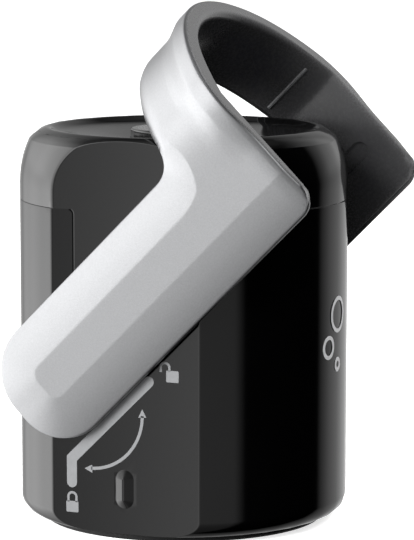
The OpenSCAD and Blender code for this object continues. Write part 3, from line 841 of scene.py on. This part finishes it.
def make_print():
    print_piece("print_guide_line", [stroke([(-10.1, 9.4), (-10.1, 13.6), (4.4, 27.9)], 1.9)])
    closed = shackle((-10.8, 5.9), (-9.27, 5.9), (-10.05, 6.8), 0.78)
    print_piece("print_padlock_closed", [rounded_box(-11.2, -8.9, 4.1, 6.05, 0.2), closed])
    ajar = shackle((6.65, 29.8), (8.25, 30.0), (7.45, 30.6), 0.8)
    print_piece("print_padlock_open", [rounded_box(7.65, 9.95, 28.1, 30.1, 0.2), ajar])
    bow = stroke(arc(-6.6, 21.9, 9.8, -89, 0, 40), 0.55, False)
    low_tip = [(-7.7, 12.0), (-6.2, 11.3), (-6.25, 12.75)]
    high_tip = [(3.2, 23.1), (2.45, 21.6), (3.95, 21.7)]
    print_piece("print_swing_arrow", [bow, low_tip, high_tip])


def make_emblem():
    """Plain rising-bubbles mark on the front: three rings of growing size, drawn in a brighter copy of the print
    ink as painted light.
    """
    bubbles = [(0.4, 28.6, 1.3), (-3.4, 32.0, 2.1), (0.6, 37.4, 3.2)]
    width = 0.7
    points, faces = [], []
    n = 48
    for cx, cz, radius in bubbles:
        first = len(points)
        inner = radius - width
        for reach, lift in ((radius, -INK_SUNK), (radius, INK_PROUD), (inner, INK_PROUD),
                            (inner, -INK_SUNK)):
            for k in range(n):
                t = 2 * math.pi * k / n
                angle = (cx + reach * math.cos(t)) / BODY_R
                points.append(((BODY_R + lift) * math.sin(angle),
                               -(BODY_R + lift) * math.cos(angle), cz + reach * math.sin(t)))
        for i in range(4):
            faces += quads_between(first + i * n, first + (i + 1) % 4 * n, n)
    # Same ink as the guide on the flat, made paler here as painted light
    finish_mesh(mesh_object("print_bubbles", points, faces, merge=0.0005), "print_grey", "body",
                weighted=False, looks="print_grey_lit_copy")


# ---- carried-over nodes ----


def dress_nodes():
    slots = {s["node"]: s["material_slot"] for s in frame["record"]["subparts"]}
    for name, node in frame["nodes"].items():
        node.data.materials.clear()
        node.data.materials.append(MATERIALS[slots[name]])


# ---- studio ----


def make_floor():
    """Pale floor for the camera; the body doesn't reflect it and gets no light from it."""
    half, pale = 9, (0.8, 0.8, 0.8)
    mesh = bpy.data.meshes.new("floor")
    mesh.from_pydata([(-half, -half, 0), (half, -half, 0), (half, half, 0), (-half, half, 0)],
                     [], [(0, 1, 2, 3)])
    floor = bpy.data.objects.new("floor", mesh)
    bpy.context.scene.collection.objects.link(floor)
    m = bpy.data.materials.new("floor")
    m.use_nodes = True
    shader = m.node_tree.nodes["Principled BSDF"]
    shader.inputs["Base Color"].default_value = (*pale, 1)
    shader.inputs["Roughness"].default_value = 0.8
    shader.inputs["Specular IOR Level"].default_value = 0.1
    shader.inputs["Emission Color"].default_value = (*pale, 1)
    shader.inputs["Emission Strength"].default_value = 0.9
    mesh.materials.append(m)
    floor.visible_glossy = False
    floor.visible_diffuse = False


def area_light(name, place, target, size, power):
    """Softbox that lights the matt colours; the glossy ones reflect the world instead."""
    data = bpy.data.lights.new(name, "AREA")
    data.shape = "RECTANGLE"
    data.size, data.size_y = size
    data.energy = power
    obj = bpy.data.objects.new(name, data)
    obj.location = place
    obj.rotation_mode = "QUATERNION"
    obj.rotation_quaternion = (Vector(target) - Vector(place)).to_track_quat("-Z", "Y")
    obj.visible_camera = False
    obj.visible_glossy = False
    bpy.context.scene.collection.objects.link(obj)


# Brightness of the studio round the object. First number of each pair: degrees from +X
# towards +Y; second: brightness. LOW is for directions under the horizon, HIGH for those over it.
LOW_GLOW = [(0, 0.75), (15, 0.7), (35, 0.55), (46, 0.5), (54, 1.05), (62, 1.38),
            (72, 2.05), (85, 2.7), (95, 3.5), (105, 2.8), (115, 2.65), (130, 2.4),
            (140, 1.75), (147, 1.0), (150, 0.4), (153.5, 0.52), (155, 0.72), (157.5, 1.34),
            (163, 1.5), (175, 0.85), (205, 0.45), (241, 0.42), (249, 0.0), (312, 0.0),
            (318, 0.28), (328, 0.5), (345, 0.65)]
HIGH_GLOW = [(0, 0.45), (12, 0.42), (30, 0.36), (42, 0.45), (52, 0.95), (62, 1.45),
             (70, 1.9), (77, 2.4), (85, 2.75), (98, 2.8), (110, 2.25), (125, 2.5),
             (142, 3.05), (154, 2.05), (168, 0.9), (183, 0.5), (200, 0.4), (215, 0.3),
             (240, 0.15), (250, 0.0), (311, 0.0), (317, 0.25), (330, 0.65), (350, 0.8)]
# Share of each glow by the sine of the elevation, and the glow straight overhead
LOW_SHARE = [(-1.0, 0.3), (-0.65, 0.55), (-0.5, 0.72), (-0.4, 0.91), (-0.3, 1.1),
             (-0.18, 1.08), (-0.1, 0.96), (0.0, 0.88)]
HIGH_SHARE = [(0.0, 1.0), (0.2, 1.0), (0.45, 0.95), (0.6, 0.6), (0.75, 0.1), (1.0, 0.0)]
TOP_GLOW = [(0.0, 0.0), (0.75, 0.0), (0.9, 0.15), (1.0, 0.5)]
GLOW_RANGE = 4.0        # the ramps hold the glow divided by this


def make_world():
    """Grey studio: a large softbox at the rear left, a dim one at the right, a black front."""
    world = bpy.data.worlds.new("studio")
    world.use_nodes = True
    tree = world.node_tree
    link = tree.links.new

    def math_node(operation, *values):
        node = tree.nodes.new("ShaderNodeMath")
        node.operation = operation
        for socket, value in zip(node.inputs, values):
            if isinstance(value, (int, float)):
                socket.default_value = value
            else:
                link(value, socket)
        return node.outputs[0]

    def ramp(value, stops, wrap=None):
        node = tree.nodes.new("ShaderNodeValToRGB")
        elements = node.color_ramp.elements
        if wrap:
            stops = [(a / wrap, glow) for a, glow in stops] + [(1.0, stops[0][1])]
        lowest = min(stops[0][0], 0)
        if lowest < 0:
            value = math_node("SUBTRACT", value, lowest)
            stops = [(position - lowest, glow) for position, glow in stops]
        for i, (position, glow) in enumerate(stops):
            element = elements[i] if i < 2 else elements.new(position)
            element.position = position
            element.color = (*[glow / GLOW_RANGE] * 3, 1)
        link(value, node.inputs["Fac"])
        return math_node("MULTIPLY", node.outputs["Color"], GLOW_RANGE)

    place = tree.nodes.new("ShaderNodeTexCoord")
    split = tree.nodes.new("ShaderNodeSeparateXYZ")
    link(place.outputs["Generated"], split.inputs[0])
    x, y, z = split.outputs
    turn = math_node("FRACT", math_node("DIVIDE", math_node("ARCTAN2", y, x), 2 * math.pi))
    low = math_node("MULTIPLY", ramp(turn, LOW_GLOW, 360), ramp(z, LOW_SHARE))
    high = math_node("ADD", math_node("MULTIPLY", ramp(turn, HIGH_GLOW, 360),
                                      ramp(z, HIGH_SHARE)), ramp(z, TOP_GLOW))
    over = tree.nodes.new("ShaderNodeMapRange")
    over.interpolation_type = "SMOOTHSTEP"
    over.inputs["From Min"].default_value = -0.03
    over.inputs["From Max"].default_value = 0.1
    link(z, over.inputs["Value"])
    both = tree.nodes.new("ShaderNodeMix")
    link(over.outputs["Result"], both.inputs["Factor"])
    link(low, both.inputs["A"])
    link(high, both.inputs["B"])
    link(both.outputs["Result"], tree.nodes["Background"].inputs["Color"])
    bpy.context.scene.world = world


def make_studio():
    make_world()
    make_floor()
    area_light("softbox_left", (-0.85, 0.35, 0.45), (0, 0, 0.05), (0.6, 0.6), 18.0)
    area_light("softbox_front", (0.35, -0.55, 0.8), (0, 0, 0.06), (0.6, 0.6), 9.0)


def make_camera():
    """Camera of the reference view: azimuth, elevation, distance and shift."""
    azimuth, elevation = math.radians(-66.90), math.radians(8.92)
    distance, aim = 0.5292, Vector((0, 0, 0.03305))
    data = bpy.data.cameras.new("camera")
    data.sensor_width = 36.0
    data.lens = 198.15
    data.shift_x, data.shift_y = 0.0431, 0.1095
    data.clip_start, data.clip_end = 0.01, 20
    obj = bpy.data.objects.new("camera", data)
    back = Vector((math.sin(azimuth) * math.cos(elevation),
                   -math.cos(azimuth) * math.cos(elevation), math.sin(elevation)))
    obj.location = aim + back * distance
    obj.rotation_mode = "QUATERNION"
    obj.rotation_quaternion = (-back).to_track_quat("-Z", "Y")
    bpy.context.scene.collection.objects.link(obj)
    bpy.context.scene.camera = obj


make_camera()
dress_nodes()
make_housing()
make_cover()
make_skin()
make_inner_frame()
make_band_lines()
make_print()
make_emblem()
make_studio()
bpy.context.scene.view_settings.view_transform = "Standard"
